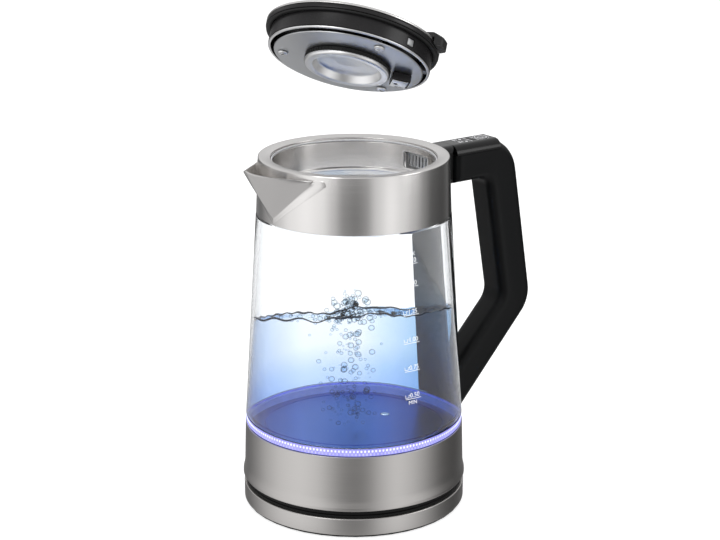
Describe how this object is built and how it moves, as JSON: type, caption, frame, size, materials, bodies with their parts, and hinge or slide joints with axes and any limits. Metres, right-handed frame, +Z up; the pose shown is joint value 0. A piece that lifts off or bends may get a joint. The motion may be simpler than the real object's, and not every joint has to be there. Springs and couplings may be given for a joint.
{
  "type": "electric kettle",
  "caption": "Cordless glass-walled electric kettle on a round power base, with steel collar and spout, cranked black handle with touch panel, glowing base ring and a loose lid held above.",
  "frame": {"origin": "on the table, under the middle of the whole outline; the kettle's own upright axis is 31.5 mm towards the spout from it", "axes": "+Z up; +X from the kettle towards its handle, so the spout points to -X; +Y completes the right-handed set and points to the side away from the volume marks"},
  "size_m": [0.2316, 0.1492, 0.3428],
  "materials": {
    "brushed_steel": "fine brushed stainless sheet",
    "bright_steel": "polished",
    "satin_plate": "satin grey plate",
    "clear_glass": "clear borosilicate",
    "soft_black": "matt black moulding",
    "gloss_black": "gloss black moulding",
    "silicone": "dark silicone",
    "light_guide": "translucent light guide lit blue-violet",
    "white_print": "white lamp lens",
    "board_green": "circuit board",
    "aluminium": "as cast"
  },
  "bodies": {
    "base": {"base_ring": "brushed_steel", "base_top": "soft_black", "base_bottom": "soft_black", "foot_1": "silicone", "foot_2": "silicone", "foot_3": "silicone", "foot_4": "silicone", "base_connector": "soft_black", "cable_gland": "silicone"},
    "socket": {"jug_socket": "soft_black"},
    "jug": {"skirt": "brushed_steel", "jug_bottom_cover": "soft_black", "bottom_screw_1": "bright_steel", "bottom_screw_2": "bright_steel", "bottom_screw_3": "bright_steel", "heater_plate": "brushed_steel", "heat_spreader": "aluminium", "heating_element": "aluminium", "temperature_probe": "bright_steel", "thermostat_unit": "gloss_black", "light_ring": "light_guide", "foot_gasket": "silicone", "led_board": "board_green", "glass_body": "clear_glass", "neck_gasket": "silicone", "collar": "brushed_steel", "steam_vent": "satin_plate", "handle_screw_1": "bright_steel", "handle_screw_2": "bright_steel", "spout": "brushed_steel", "handle_shell": "soft_black", "handle_inner_cover": "soft_black", "handle_mount": "gloss_black", "handle_strip": "soft_black", "control_panel": "gloss_black", "indicator_lamp_1": "white_print", "indicator_lamp_2": "white_print", "control_board": "board_green", "power_switch": "satin_plate", "temperature_switch": "satin_plate"},
    "power_button": {"power_button": "gloss_black"},
    "temperature_button": {"temperature_button": "gloss_black"},
    "lid_seat": {"lid_seat_ring": "silicone"},
    "lid_bar": {"lid_grip_bar": "bright_steel"},
    "lid": {"lid_trim_ring": "bright_steel", "lid_shell": "gloss_black", "lid_seal": "silicone", "lid_top_disc": "brushed_steel", "lid_tab": "soft_black", "grip_saddle": "soft_black", "lid_underplate": "satin_plate", "lid_bowl_wall": "soft_black", "lid_bowl": "bright_steel", "lid_screw_1": "bright_steel", "lid_screw_2": "bright_steel", "lid_screw_3": "bright_steel", "steam_duct": "soft_black", "steam_duct_cover": "bright_steel"},
    "latch_left": {"latch_left": "satin_plate"},
    "latch_right": {"latch_right": "satin_plate"}
  },
  "joints": [
    {"name": "jug_lift", "type": "slide", "parent": "base", "child": "socket", "axis": [0, 0, 1], "range_m": [0, 0.12]},
    {"name": "jug_turn", "type": "hinge", "parent": "socket", "child": "jug", "pos_m": [-0.03153, 0, 0.02], "axis": [0, 0, 1], "continuous": true},
    {"name": "power_press", "type": "slide", "parent": "jug", "child": "power_button", "axis": [0, 0, -1], "range_m": [0, 0.0008], "stiffness_N_per_m": 900},
    {"name": "temperature_press", "type": "slide", "parent": "jug", "child": "temperature_button", "axis": [0, 0, -1], "range_m": [0, 0.0008], "stiffness_N_per_m": 900},
    {"name": "lid_turn", "type": "hinge", "parent": "jug", "child": "lid_seat", "pos_m": [-0.03153, 0, 0.2362], "axis": [0, 0, 1], "range_deg": [0, 57.6]},
    {"name": "lid_lift", "type": "slide", "parent": "lid_seat", "child": "lid_bar", "axis": [0, 0, 1], "range_m": [-0.0698, 0]},
    {"name": "lid_tilt", "type": "hinge", "parent": "lid_bar", "child": "lid", "pos_m": [-0.03153, 0, 0.3143], "axis": [0.5388, -0.8425, 0], "range_deg": [0, 32.9]},
    {"name": "latch_left_press", "type": "slide", "parent": "lid", "child": "latch_left", "axis": [-0.7911, 0.5654, 0.2332], "range_m": [0, 0.0015], "stiffness_N_per_m": 300},
    {"name": "latch_right_press", "type": "slide", "parent": "lid", "child": "latch_right", "axis": [-0.1814, 0.9554, -0.2332], "range_m": [0, 0.0015], "stiffness_N_per_m": 300}
  ],
  "couplings": [
    {"joint": "lid_turn", "follows": "lid_lift", "rad_per_m": -14.353},
    {"joint": "lid_tilt", "follows": "lid_lift", "rad_per_m": -8.2015}
  ]
}
